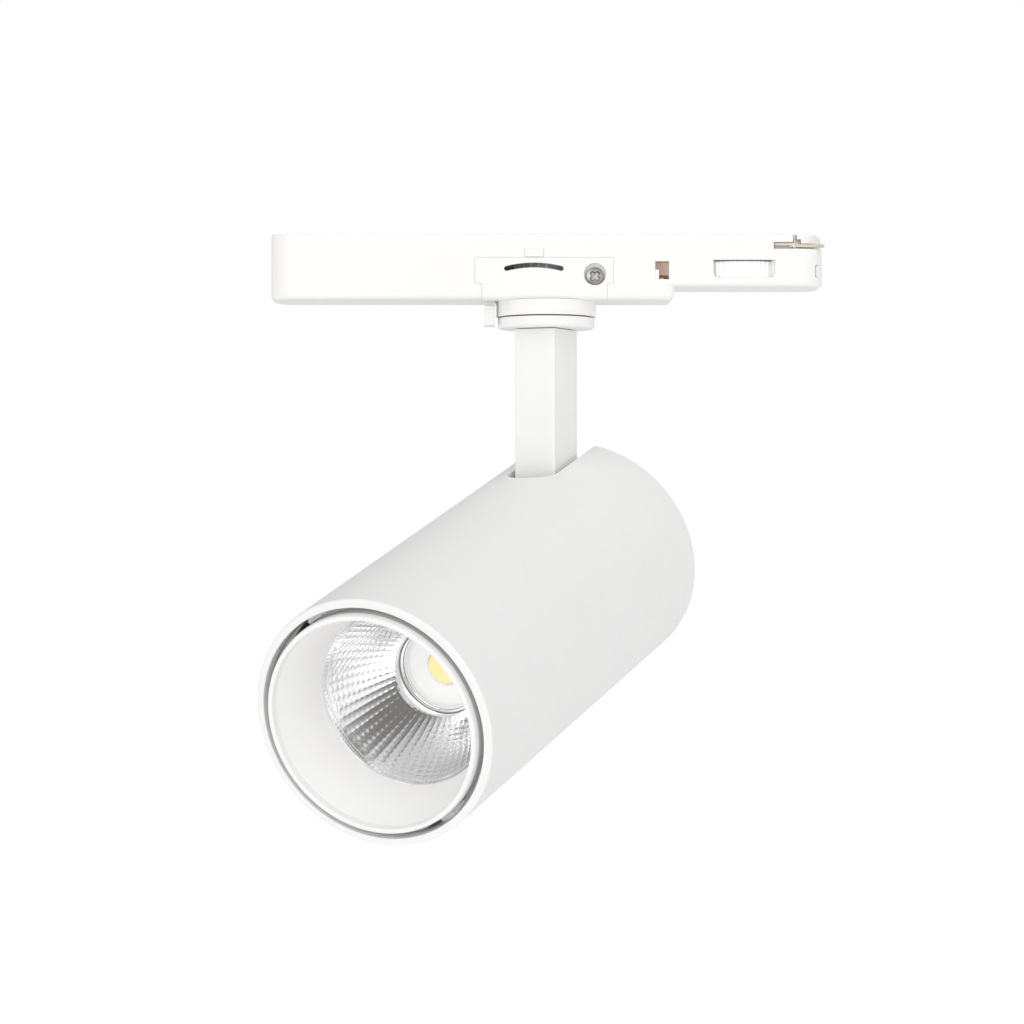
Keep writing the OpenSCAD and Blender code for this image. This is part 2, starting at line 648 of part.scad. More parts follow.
// Round core with radial fins, bosses for the rear posts and tapped holes
module heat_sink() color("silver") on_axis() difference() {
    len = sink_x[1] - sink_x[0];
    translate([sink_x[0], 0, 0]) {
        union() {
            rod_x(core_r, len);
            translate([len - 6, 0, 0]) rod_x_fine(sink_r, 6);
            intersection() {
                rod_x_fine(sink_r, len);
                for (i = [0:fin_count / 2 - 1]) rotate([i * 360 / fin_count, 0, 0])
                    box([0, -head_r, -1], [len, head_r, 1]);
            }
            for (p = post_places) translate([0, p[0], p[1]]) rod_x(5, len);
        }
    }
    for (s = [-1, 1]) {
        translate([sink_x[0] - 1, s * 8, pivot_lift - 19]) rod_x(1.65, 14);
        translate([sink_x[1] - 10, s * 19.4, 0]) rod_x(1.3, 12);
    }
    for (a = [81, 99]) rotate([a, 0, 0]) translate([sink_x[0] - 1, 27, 0]) rod_x(1.5, len + 2);
}

module thermal_pad() color("gray") on_axis() translate([sink_x[1] + 0.01, 0, 0])
    box([0, -12, -12], [0.25, 12, 12]);

module led_board() color("gainsboro") on_axis() box([sink_x[1] + 0.28, -12, -12], [les_x - 1.02, 12, 12]);

module led_phosphor() color("gold") on_axis() translate([les_x - 1, 0, 0]) rod_x(7, 1);

module led_holder() color("white") on_axis() difference() {
    translate([sink_x[1] + 0.02, 0, 0]) rod_x(22, les_x + 0.4 - sink_x[1] - 0.02);
    translate([les_x - 0.98 - 8, 0, 0]) rod_x(7.7, 20);
    box([sink_x[1] - 1, -12.2, -12.2], [les_x - 0.98, 12.2, 12.2]);
    for (s = [-1, 1]) translate([sink_x[1] - 1, s * 19.4, 0]) rod_x(1.5, 20);
}

module holder_screws() color("silver") on_axis() for (s = [-1, 1])
    translate([les_x + 0.42, s * 19.4, 0]) rotate([0, 90, 0]) pan_screw(1.25, 11, 2.4, 1.6);

module led_leads() color("tomato") on_axis() for (a = [81, 99]) rotate([a, 0, 0])
    translate([sink_x[0] - 6, 27, 0]) rod_x(0.9, sink_x[1] - sink_x[0] + 5);

// Deep bright bowl; the profile is a parabola-like curve between its neck and its rim
bowl_d = [27.4, 58];
bowl_r = [18, 35];
function bowl_at(t) = [bowl_r[0] + (bowl_r[1] - bowl_r[0]) * pow(t, 0.72), bowl_d[1] - (bowl_d[1] - bowl_d[0]) * t];
module reflector() color("silver") {
    skin = 1.1;
    neck = 15.6;
    steps = [0:0.1:1];
    turned(concat(
        [for (t = steps) bowl_at(t)],
        [[38.4, bowl_d[0]], [38.4, bowl_d[0] + skin], [bowl_r[1] + skin, bowl_d[0] + skin + 0.3]],
        [for (t = [0.9:-0.1:0]) bowl_at(t) + [skin, 0.4]],
        [[neck + skin, 59.6], [neck + skin, 61.9], [neck, 61.9], [neck, 58.6]]));
}

// White anti-glare cone with a plain outer skirt; its lip stands a little in front of the tube
lip = 1.9;
skirt_r = 43.4;
rim_z = [6, 7.5];            // the flange that closes the gap, measured back from the tube's front
rim_gap = [-9, 18];       // where it is open beside each clip, in degrees
clip_angles = [119, -61];
module baffle() color("white") {
    turned([[41, 0.7 - lip], [41.6, -lip], [42.5, -lip], [43, 0.5 - lip], [skirt_r, 0.5],
        [skirt_r, 32], [skirt_r - 1.4, 32], [skirt_r - 1.4, 3.2], [36.6, 27.3], [35.1, 27.3]]);
    difference() {
        turned([[skirt_r - 0.7, rim_z[0]], [bore_r - 0.2, rim_z[0]],
                [bore_r - 0.2, rim_z[1]], [skirt_r - 0.7, rim_z[1]]]);
        on_axis() for (a = clip_angles) rotate([a, 0, 0]) translate([front_len - 10, 0, 0])
            rotate([90, 0, 90]) linear_extrude(6)
                polygon([[0, 0], for (g = rim_gap) 60 * [cos(g), sin(g)]]);
    }
}

// Two spring clips that hold the baffle in the tube
module baffle_clips() color("silver") on_axis() for (a = clip_angles) rotate([a, 0, 0])
    box([front_len - 20, skirt_r + 0.1, -3], [front_len - 5, bore_r - 0.3, 3]);

// ---------- output ----------

adapter_housing();
adapter_cover();
cover_screws();
swivel_block();
block_screws();
clamp_band();
tension_screw();
driver_board();
board_screws();
transformer_core();
transformer_winding();
electrolytic_capacitors();
film_capacitors();
inductor();
power_transistor();
terminal_block();
earth_contact();
neutral_contact();
supply_leads();
selector_wheel();
selector_pin();
phase_blade();
blade_pin();
release_slider();
latch_spring();
front_catch();
rear_catch();
swivel_ring();
swivel_hub();
friction_washer();
scale_drum();
spring_washer();
swivel_nut();
stem();
stem_screws();
stem_cable();
head_tube();
rear_cap();
cap_posts();
cap_screws();
pivot_bracket();
bracket_screws();
pivot_bolt();
pivot_nut();
pivot_washers();
heat_sink();
thermal_pad();
led_board();
led_phosphor();
led_holder();
holder_screws();
led_leads();
reflector();
baffle();
baffle_clips();
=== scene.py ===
"""Track spotlight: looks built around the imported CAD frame. Metres, +Z up, -Y towards the camera."""
import json
import math

import bmesh
import bpy
from mathutils import Matrix, Vector


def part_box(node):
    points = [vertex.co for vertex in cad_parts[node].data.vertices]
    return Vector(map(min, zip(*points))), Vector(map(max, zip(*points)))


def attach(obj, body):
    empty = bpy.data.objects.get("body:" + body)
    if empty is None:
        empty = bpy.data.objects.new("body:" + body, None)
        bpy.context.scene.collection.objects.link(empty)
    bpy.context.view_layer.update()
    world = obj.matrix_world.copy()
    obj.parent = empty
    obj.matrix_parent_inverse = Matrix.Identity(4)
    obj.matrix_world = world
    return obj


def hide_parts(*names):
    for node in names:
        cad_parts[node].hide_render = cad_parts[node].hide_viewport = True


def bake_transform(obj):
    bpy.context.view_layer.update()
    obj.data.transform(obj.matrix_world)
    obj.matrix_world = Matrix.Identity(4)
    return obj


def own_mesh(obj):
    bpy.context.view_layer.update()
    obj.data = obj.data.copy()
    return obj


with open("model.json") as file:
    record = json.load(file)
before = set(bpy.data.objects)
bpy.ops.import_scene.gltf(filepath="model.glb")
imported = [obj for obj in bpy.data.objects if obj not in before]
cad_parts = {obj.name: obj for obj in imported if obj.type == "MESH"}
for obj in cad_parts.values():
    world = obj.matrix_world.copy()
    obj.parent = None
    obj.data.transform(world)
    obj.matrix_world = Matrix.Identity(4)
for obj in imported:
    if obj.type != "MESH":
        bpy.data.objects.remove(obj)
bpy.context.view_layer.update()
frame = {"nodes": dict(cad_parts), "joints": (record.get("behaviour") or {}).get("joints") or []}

MM = 0.001
TAU = 2 * math.pi
JOINTS = {j["name"]: j for j in frame["joints"]}


# ---------------------------------------------------------------- places, from the frame

def stem_matrix():
    """Stem frame: origin on the swivel axis at z 0, +X the way the head points, +Y the tilt axis."""
    side = Vector(JOINTS["tilt"]["axis"])
    front = side.cross(Vector((0, 0, 1)))
    return Matrix((front, side, (0, 0, 1))).transposed().to_4x4()


def head_matrix():
    """Head frame: origin at the tilt pivot, +X along the tube towards the light's front.
    The head is level at the tilt joint's lower limit, so that limit gives its tilt at rest."""
    tilt = math.radians(-JOINTS["tilt"]["range_deg"][0])
    turn = Matrix.Rotation(tilt, 4, "Y")
    return Matrix.Translation(JOINTS["tilt"]["pos_m"]) @ stem_matrix() @ turn


STEM = stem_matrix()
HEAD = head_matrix()
PIVOT_LIFT = 30 * MM          # tilt pivot above the tube's axis
AXIS = HEAD @ Matrix.Translation((0, 0, -PIVOT_LIFT))


def farthest_x(node, matrix):
    """Highest x of a CAD node's vertices in a local frame."""
    inv = matrix.inverted()
    return max((inv @ v.co).x for v in frame["nodes"][node].data.vertices)


FRONT_X = farthest_x("head_tube", AXIS)       # the tube's front rim
HALF_W = -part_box("adapter_housing")[0][1]     # half the adapter's width
CLIP_ANGLES = (119, -61)                      # where the two baffle clips sit around the tube's axis

# the bowl: depths behind the tube's front rim, and radii
RIM_DEPTH, NECK_DEPTH = 27.4 * MM, 58 * MM
NECK_R, RIM_R = 18 * MM, 35 * MM


# ---------------------------------------------------------------- materials

def new_material(name):
    m = bpy.data.materials.new(name)
    m.use_nodes = True
    m.node_tree.nodes.clear()
    return m


class Shade:
    """Node material under construction; its methods add a node and return that node's output."""

    def __init__(self, name):
        self.mat = new_material(name)
        self.tree = self.mat.node_tree
        self.out = self.node("ShaderNodeOutputMaterial")
        self.bsdf = self.node("ShaderNodeBsdfPrincipled")
        self.link(self.bsdf.outputs[0], self.out.inputs[0])
        self.coord = self.node("ShaderNodeTexCoord").outputs["Object"]

    def node(self, kind, **values):
        n = self.tree.nodes.new(kind)
        for k, v in values.items():
            setattr(n, k, v)
        return n

    def link(self, a, b):
        self.tree.links.new(a, b)

    def stretched(self, scale):
        """Object coordinates with a scale of their own along each axis."""
        m = self.node("ShaderNodeMapping")
        self.link(self.coord, m.inputs["Vector"])
        m.inputs["Scale"].default_value = scale
        return m.outputs[0]

    def noise(self, scale, detail=3.0, rough=0.5, vector=None):
        n = self.node("ShaderNodeTexNoise")
        n.inputs["Scale"].default_value = scale
        n.inputs["Detail"].default_value = detail
        n.inputs["Roughness"].default_value = rough
        self.link(vector or self.coord, n.inputs["Vector"])
        return n.outputs["Fac"]

    def ramp(self, fac, low, high, low_at=0.3, high_at=0.7):
        """Colour between low and high by a value from 0 to 1."""
        r = self.node("ShaderNodeValToRGB")
        r.color_ramp.elements[0].position = low_at
        r.color_ramp.elements[0].color = (*low, 1)
        r.color_ramp.elements[1].position = high_at
        r.color_ramp.elements[1].color = (*high, 1)
        self.link(fac, r.inputs[0])
        return r.outputs[0]

    def span(self, fac, low, high):
        """Number between low and high by a value from 0 to 1."""
        m = self.node("ShaderNodeMapRange")
        m.inputs["To Min"].default_value = low
        m.inputs["To Max"].default_value = high
        self.link(fac, m.inputs["Value"])
        return m.outputs[0]

    def bump(self, height, strength, distance, normal=None):
        b = self.node("ShaderNodeBump")
        b.inputs["Strength"].default_value = strength
        b.inputs["Distance"].default_value = distance
        self.link(height, b.inputs["Height"])
        if normal:
            self.link(normal, b.inputs["Normal"])
        return b.outputs[0]

    def bevel(self, radius):
        """Normal that rounds sharp edges."""
        b = self.node("ShaderNodeBevel", samples=6)
        b.inputs["Radius"].default_value = radius
        return b.outputs[0]

    def finish(self, colour=None, rough=None, normal=None, **values):
        """Joins the outputs to the shader; values are its other inputs, with _ for a space."""
        if colour:
            self.link(colour, self.bsdf.inputs["Base Color"])
        if rough:
            self.link(rough, self.bsdf.inputs["Roughness"])
        if normal:
            self.link(normal, self.bsdf.inputs["Normal"])
        for k, v in values.items():
            self.bsdf.inputs[k.replace("_", " ")].default_value = v
        return self.mat


def tinted(base, amount):
    """The same colour, darker by a share."""
    return tuple(max(0.0, c * (1 - amount)) for c in base)


def moulded(name, base, rough, grain=1600, bump=0.06, edge=0.25 * MM, shift=0.025, **values):
    """Injection-moulded plastic: faint flow clouds, fine spark texture and eased edges."""
    s = Shade(name)
    clouds = s.noise(28, 4)
    spark = s.noise(grain, 2)
    colour = s.ramp(clouds, tinted(base, shift), base)
    roughness = s.span(s.noise(160, 3), rough - 0.05, rough + 0.06)
    normal = s.bump(spark, bump, 0.02 * MM, s.bevel(edge))
    return s.finish(colour, roughness, normal, IOR=1.49, **values)


def powder_coat(name, base, rough):
    """Matt powder coat: orange peel over a finer speckle."""
    s = Shade(name)
    peel = s.noise(900, 2)
    speck = s.noise(3600, 2)
    mix = s.node("ShaderNodeMath", operation="ADD")
    s.link(peel, mix.inputs[0])
    s.link(s.span(speck, 0, 0.4), mix.inputs[1])
    colour = s.ramp(s.noise(36, 3), tinted(base, 0.012), base)
    roughness = s.span(s.noise(700, 2), rough - 0.06, rough + 0.08)
    normal = s.bump(mix.outputs[0], 0.12, 0.03 * MM, s.bevel(0.3 * MM))
    return s.finish(colour, roughness, normal, IOR=1.45)


def metal(name, base, rough, stretch=(1, 1, 1), scale=700, bump=0.1, tarnish=0.12, edge=0.15 * MM,
          glow=0.0):
    """Bare metal: drawn or cast grain from stretched noise, with uneven tone. Its glow is painted light: an
    emission in the metal's own colour.
    """
    s = Shade(name)
    grain = s.noise(scale, 4, 0.6, s.stretched(stretch))
    tone = s.noise(60, 4)
    colour = s.ramp(tone, tinted(base, tarnish), base)
    roughness = s.span(grain, rough * 0.7, rough * 1.4)
    normal = s.bump(grain, bump, 0.02 * MM, s.bevel(edge))
    return s.finish(colour, roughness, normal, Metallic=1.0,
                    Emission_Color=(*base, 1), Emission_Strength=glow)


def printed_board(name):
    """Solder mask with paler copper tracks under it."""
    s = Shade(name)
    cells = s.node("ShaderNodeTexBrick")
    cells.inputs["Scale"].default_value = 170
    cells.inputs["Color1"].default_value = (0.012, 0.13, 0.05, 1)
    cells.inputs["Color2"].default_value = (0.016, 0.17, 0.065, 1)
    cells.inputs["Mortar"].default_value = (0.03, 0.27, 0.1, 1)
    cells.inputs["Mortar Size"].default_value = 0.035
    s.link(s.coord, cells.inputs["Vector"])
    normal = s.bump(cells.outputs["Fac"], 0.3, 0.03 * MM)
    return s.finish(cells.outputs["Color"], s.span(s.noise(300), 0.25, 0.45), normal, Coat_Weight=0.4)


def phosphor_gel(name):
    """Silicone-covered phosphor over a faint grid of dies. Its emission is painted light that brightens it;
    it is no lamp.
    """
    s = Shade(name)
    grid = s.node("ShaderNodeTexVoronoi", distance="CHEBYCHEV")
    grid.inputs["Scale"].default_value = 700
    grid.inputs["Randomness"].default_value = 0.0
    s.link(s.coord, grid.inputs["Vector"])
    colour = s.ramp(grid.outputs["Distance"], (0.98, 0.76, 0.3), (1.0, 0.87, 0.48), 0.1, 0.6)
    normal = s.bump(s.noise(500, 2), 0.08, 0.05 * MM)
    # painted light: the phosphor is brightened by its own emission
    return s.finish(colour, None, normal, Roughness=0.3, Coat_Weight=0.5, Subsurface_Weight=0.15,
                    Emission_Color=(1.0, 0.8, 0.42, 1), Emission_Strength=0.38)


def wound_tape(name, base):
    """Layers of tape or wire wound around local Z."""
    s = Shade(name)
    bands = s.node("ShaderNodeTexWave", bands_direction="Z")
    bands.inputs["Scale"].default_value = 260
    bands.inputs["Distortion"].default_value = 0.4
    s.link(s.coord, bands.inputs["Vector"])
    colour = s.ramp(bands.outputs["Fac"], tinted(base, 0.25), base)
    return s.finish(colour, s.span(s.noise(240), 0.3, 0.5), s.bump(bands.outputs["Fac"], 0.3, 0.1 * MM))


WHITE = (0.925, 0.92, 0.905)
PAINTED_GLOW = {"Emission_Color": (1, 1, 1, 1)}     # painted light: white emission that lifts the shade on pieces which are no lamps
MAT = {
    "moulding": moulded("white_moulding", WHITE, 0.34),
    # painted light: the emission of the wheel and the catch lifts their shade in the selector window and on
    # the latch
    "wheel": moulded("wheel_white", WHITE, 0.4, Emission_Strength=0.1, **PAINTED_GLOW),
    "catch": moulded("white_catch", (0.92, 0.918, 0.905), 0.42, Emission_Strength=0.02, **PAINTED_GLOW),
    "powder": powder_coat("white_powder", (0.92, 0.918, 0.911), 0.5),
    # painted shade: the skirt's outer wall and the flange are grey in place of the shadow in the gap around
    # the baffle
    "skirt": moulded("skirt_painted_shade", (0.64, 0.638, 0.63), 0.6, grain=2200),
    # painted light: the lip, guard, baffle and holder are brightened by their own emission; on the holder it
    # stands in for light gathered by the bowl
    "lip": moulded("lip_white", (0.91, 0.905, 0.9), 0.5, grain=2200, Emission_Strength=0.03, **PAINTED_GLOW),
    "guard": moulded("guard_white", (0.92, 0.91, 0.9), 0.45, Emission_Strength=0.14, **PAINTED_GLOW),
    "baffle": moulded("baffle_white", (0.95, 0.948, 0.942), 0.55, grain=2200, bump=0.1,
                      Emission_Strength=0.07, **PAINTED_GLOW),
    "holder": moulded("holder_white", (0.95, 0.95, 0.945), 0.4, grain=1800, Emission_Strength=0.22, **PAINTED_GLOW),
    "dark": moulded("dark_moulding", (0.06, 0.06, 0.062), 0.4, shift=0.2),
    # painted light: the drum and its ticks have a faint emission that lifts the shade behind the arc window
    "drum": moulded("drum_grey", (0.18, 0.18, 0.182), 0.5, shift=0.2, Emission_Strength=0.05, **PAINTED_GLOW),
    "tick": moulded("scale_print", (0.5, 0.5, 0.49), 0.5, shift=0.2, Emission_Strength=0.05, **PAINTED_GLOW),
    "fibre": moulded("fibre_black", (0.02, 0.02, 0.02), 0.8, grain=800, bump=0.4, shift=0.3),
    "screw": metal("passivated_steel", (0.47, 0.46, 0.42), 0.27, scale=900, tarnish=0.2),
    # painted light: the clip's emission makes it look lit inside the dark gap beside the baffle
    "clip": metal("bright_spring_painted_glow", (0.82, 0.82, 0.83), 0.25, (1, 8, 1), tarnish=0.15, glow=0.3),
    "steel": metal("plain_steel", (0.36, 0.355, 0.34), 0.33, scale=900, tarnish=0.3),
    "zinc": metal("zinc_plate", (0.55, 0.56, 0.57), 0.36, scale=500, tarnish=0.25),
    "spring": metal("spring_steel", (0.72, 0.72, 0.72), 0.16, (1, 8, 1), tarnish=0.2),
    "aluminium": metal("cast_aluminium", (0.62, 0.63, 0.64), 0.42, (0.3, 1, 1), 420, 0.2),
    # painted light: the copper leaves and the blade have a faint emission that lifts the shade in their
    # windows and notch
    "copper": metal("contact_copper", (0.50, 0.365, 0.285), 0.42, (2.5, 1, 0.4), 600, 0.12, 0.25, glow=0.02),
    "blade": metal("contact_alloy", (0.82, 0.72, 0.60), 0.42, (0.4, 1, 2.5), 600, 0.1, 0.15, glow=0.05),
    "mirror": metal("vapour_aluminium", (0.90, 0.90, 0.905), 0.05, scale=1500, bump=0.02, tarnish=0.03),
    "board": printed_board("solder_mask"),
    "ferrite": moulded("ferrite", (0.03, 0.031, 0.033), 0.6, grain=900, bump=0.3, shift=0.3),
    "tape": wound_tape("winding_tape", (0.72, 0.5, 0.05)),
    "sleeve": moulded("capacitor_sleeve", (0.02, 0.03, 0.075), 0.35, grain=500, shift=0.2),
    "film": moulded("film_box", (0.5, 0.36, 0.1), 0.4, grain=600, shift=0.1),
    "enamel": wound_tape("enamelled_copper", (0.45, 0.16, 0.05)),
    "pad": moulded("ceramic_pad", (0.25, 0.26, 0.3), 0.7, grain=700, bump=0.3, shift=0.1),
    "substrate": metal("led_substrate", (0.75, 0.75, 0.74), 0.3, scale=400),
    "phosphor": phosphor_gel("phosphor_gel"),
    "sheath": moulded("cable_sheath", (0.78, 0.78, 0.76), 0.5, grain=600, bump=0.15),
}

# CAD nodes by their look
NODE_LOOKS = {
    "moulding": ["adapter_housing", "adapter_cover", "swivel_block", "swivel_ring"],
    "wheel": ["selector_wheel"],
    "catch": ["release_slider", "front_catch", "rear_catch", "terminal_block"],
    "powder": ["stem", "head_tube", "rear_cap"],
    "baffle": ["baffle"],
    "holder": ["led_holder"],
    "dark": ["clamp_band", "power_transistor"],
    "drum": ["scale_drum"],
    "fibre": ["friction_washer", "pivot_washers"],
    "steel": ["tension_screw", "pivot_bolt", "pivot_nut", "spring_washer"],
    "zinc": ["cover_screws", "block_screws", "board_screws", "swivel_hub", "swivel_nut", "stem_screws",
             "cap_screws", "pivot_bracket", "bracket_screws", "holder_screws", "selector_pin"],
    "spring": ["latch_spring", "baffle_clips"],
    "aluminium": ["cap_posts", "heat_sink"],
    "copper": ["earth_contact", "neutral_contact"],
    "blade": ["phase_blade", "blade_pin"],
    "mirror": ["reflector"],
    "board": ["driver_board"],
    "ferrite": ["transformer_core"],
    "tape": ["transformer_winding"],
    "sleeve": ["electrolytic_capacitors"],
    "film": ["film_capacitors"],
    "enamel": ["inductor"],
    "pad": ["thermal_pad"],
    "substrate": ["led_board"],
    "phosphor": ["led_phosphor"],
    "sheath": ["stem_cable", "supply_leads", "led_leads"],
}


def dress_nodes():
    """Gives each CAD node its look."""
    for look, names in NODE_LOOKS.items():
        for n in names:
            mesh = frame["nodes"][n].data
            mesh.materials.clear()
            mesh.materials.append(MAT[look])


# ---------------------------------------------------------------- mesh helpers

def make_object(name, bm, look, matrix=None, smooth_angle=None):
    """Turns a bmesh in local coordinates into an object in the row frame."""
    bmesh.ops.remove_doubles(bm, verts=bm.verts, dist=1e-7)
    bmesh.ops.recalc_face_normals(bm, faces=bm.faces)
    if matrix:
        bm.transform(matrix)
    mesh = bpy.data.meshes.new(name)
    bm.to_mesh(mesh)
    bm.free()
    mesh.materials.append(MAT[look])
    obj = bpy.data.objects.new(name, mesh)
    bpy.context.scene.collection.objects.link(obj)
    if smooth_angle is not None:
        mesh.shade_smooth()
        mesh.set_sharp_from_angle(angle=math.radians(smooth_angle))
    return obj


def turned_ring(bm, x, r, steps):
    """Ring of vertices about local X."""
    return [bm.verts.new((x, r * math.cos(TAU * i / steps), r * math.sin(TAU * i / steps)))
            for i in range(steps)]


def join_rings(bm, rings, closed=False):
    """Faces between successive rings of vertices; closed also joins the last ring to the first."""
    following = rings[1:] + (rings[:1] if closed else [])
    for a, b in zip(rings, following):
        for i in range(len(a)):
            j = (i + 1) % len(a)
            bm.faces.new((a[i], a[j], b[j], b[i]))


def cap_ends(bm, rings):
    """Faces that close the first and the last ring."""
    bm.faces.new(list(reversed(rings[0])))
    bm.faces.new(rings[-1])


def arc(cx, cy, r, a0, a1, steps):
    """Points on an arc, angles in degrees."""
    return [(cx + r * math.cos(math.radians(a0 + (a1 - a0) * k / steps)),
             cy + r * math.sin(math.radians(a0 + (a1 - a0) * k / steps))) for k in range(steps + 1)]


def strip(bm, path, width_axis, half_width, thickness, columns=4, crown=0.0):
    """Bent sheet strip: path is a list of points, thickness is measured along the path's own normal."""
    rows = []
    n = len(path)
    side = Vector(width_axis)
    for k, p in enumerate(path):
        p = Vector(p)
        ahead = (Vector(path[min(k + 1, n - 1)]) - Vector(path[max(k - 1, 0)])).normalized()
        normal = ahead.cross(side).normalized()
        row = []
        for i in range(columns + 1):
            w = 2 * i / columns - 1
            c = p + side * (w * half_width) + normal * (crown * (1 - w * w))
            row.append((bm.verts.new(c), bm.verts.new(c + normal * thickness)))
        rows.append(row)
    for a, b in zip(rows, rows[1:]):
        for i in range(columns):
            bm.faces.new((a[i][0], a[i + 1][0], b[i + 1][0], b[i][0]))
            bm.faces.new((a[i][1], b[i][1], b[i + 1][1], a[i + 1][1]))
        bm.faces.new((a[0][0], b[0][0], b[0][1], a[0][1]))
        bm.faces.new((a[-1][0], a[-1][1], b[-1][1], b[-1][0]))
    for row in (rows[0], rows[-1]):
        for i in range(columns):
            bm.faces.new((row[i][0], row[i][1], row[i + 1][1], row[i + 1][0]))


def smooth_path(points, per_span=6):
    """Catmull-Rom curve through the points."""
    pts = [Vector(p) for p in points]
    pts = [2 * pts[0] - pts[1]] + pts + [2 * pts[-1] - pts[-2]]
    out = []
    for k in range(1, len(pts) - 2):
        p0, p1, p2, p3 = pts[k - 1:k + 3]
        for i in range(per_span):
            t = i / per_span
            out.append(0.5 * (2 * p1 + (p2 - p0) * t + (2 * p0 - 5 * p1 + 4 * p2 - p3) * t * t
                              + (3 * p1 - p0 - 3 * p2 + p3) * t ** 3))
    out.append(pts[-2])
    return out


def tube(bm, path, radius, spokes=14):
    """Closed round tube along a path."""
    n = len(path)
    path = [Vector(p) for p in path]
    ahead = (path[1] - path[0]).normalized()
    normal = ahead.orthogonal().normalized()
    rings = []
    for k, p in enumerate(path):
        ahead = (path[min(k + 1, n - 1)] - path[max(k - 1, 0)]).normalized()
        normal = (normal - ahead * normal.dot(ahead)).normalized()
        other = ahead.cross(normal)
        ring = []
        for i in range(spokes):
            a = TAU * i / spokes
            ring.append(bm.verts.new(p + radius * (math.cos(a) * normal + math.sin(a) * other)))
        rings.append(ring)
    join_rings(bm, rings)
    cap_ends(bm, rings)


# ---------------------------------------------------------------- head pieces

def bowl_point(t):
    """Inner surface of the bowl: t 0 at the neck, 1 at the rim. Returns (x, radius) in the tube's frame."""
    r = NECK_R + (RIM_R - NECK_R) * t ** 0.72
    return FRONT_X - (NECK_DEPTH - (NECK_DEPTH - RIM_DEPTH) * t), r


COLUMNS, ROWS, FINE = 60, 12, 6      # facets around and along the bowl, and mesh steps per facet
FACETS_END = 0.925                   # share of the bowl's depth that has facets
PILLOW = 0.0027                      # height of a facet's pillow, as a share of the bowl's radius


def facet_ring(bm, k):
    """Ring of vertices at step k of the faceted part: pillows on chords, fading out at the neck."""
    t = FACETS_END * k / (ROWS * FINE)
    x, r = bowl_point(t)
    x2, r2 = bowl_point(t + 0.01)
    slope = Vector((x2 - x, r2 - r)).normalized()
    inward = Vector((slope.y, -slope.x))
    v = 2 * ((k % FINE) / FINE) - 1
    fade = min(1.0, k / FINE, (ROWS * FINE - k) / FINE)
    bulge = PILLOW * r
    ring = []
    for i in range(COLUMNS * FINE):
        u = 2 * ((i % FINE) / FINE) - 1
        lift = fade * bulge * (1 - u ** 4) * (1 - v ** 4)
        half = math.pi / COLUMNS
        chord = 1 - fade + fade * math.cos(half) / math.cos(u * half)
        px, pr = x + inward.x * lift, r * chord + inward.y * lift
        a = TAU * (i / (COLUMNS * FINE))
        ring.append(bm.verts.new((px, pr * math.cos(a), pr * math.sin(a))))
    return ring


def build_reflector():
    """Bowl of pillow facets with a smooth band at its rim and a polished ring at its neck."""
    bm = bmesh.new()
    rows = [facet_ring(bm, k) for k in range(ROWS * FINE + 1)]
    skin = 1.1 * MM
    flange_r = 38.2 * MM
    rim_x = FRONT_X - RIM_DEPTH
    band_x, band_r = bowl_point(FACETS_END + 0.008)
    rim = [(band_x, band_r + 0.1 * MM), (rim_x - 0.9 * MM, RIM_R - 0.25 * MM),
           (rim_x - 0.3 * MM, RIM_R), (rim_x, RIM_R + 0.3 * MM), (rim_x - 0.1 * MM, flange_r),
           (rim_x - skin, flange_r), (rim_x - skin - 0.3 * MM, RIM_R + skin)]
    back = [(x - skin * 0.25, r + skin) for x, r in (bowl_point(t / 10) for t in range(9, -1, -1))]
    ring_r = 15.6 * MM
    ring_x = FRONT_X - 59.6 * MM
    end_x = FRONT_X - 61.9 * MM
    neck = [(ring_x - 0.4 * MM, ring_r + skin), (end_x, ring_r + skin), (end_x, ring_r),
            (ring_x, ring_r)]
    neck += arc(ring_x + 0.9 * MM, ring_r + 0.95 * MM, 0.9 * MM, 175, 60, 8)
    neck += arc(FRONT_X - NECK_DEPTH - 0.5 * MM, NECK_R - 0.5 * MM, 0.45 * MM, 210, 330, 6)
    rows += [turned_ring(bm, x, r, COLUMNS * FINE) for x, r in rim + back + neck]
    join_rings(bm, rows, closed=True)
    piece = make_object("faceted_reflector", bm, "mirror", AXIS, 14)
    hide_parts("reflector")
    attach(piece, "head")


def flange_block(bm, x0, x1, inner, outer, start, end, step=1.0):
    """Closed piece of a flat ring about local X between two angles in degrees. It widens inwards from
    its outer edge at its start, and narrows to its inner edge at its end."""
    n = math.ceil((end - start) / step)
    taper_in, taper_out = 14.0, 9.0
    least = 0.03
    rows = []
    for i in range(n + 1):
        angle = start + (end - start) * i / n
        a = math.radians(angle)
        r0 = outer - (outer - inner) * max(least, min(1.0, (angle - start) / taper_in))
        r1 = inner + (outer - inner) * max(least, min(1.0, (end - angle) / taper_out))
        rows.append([bm.verts.new((x, r * math.cos(a), r * math.sin(a)))
                     for x, r in ((x0, r0), (x1, r0), (x1, r1), (x0, r1))])
    join_rings(bm, rows)
    cap_ends(bm, rows)


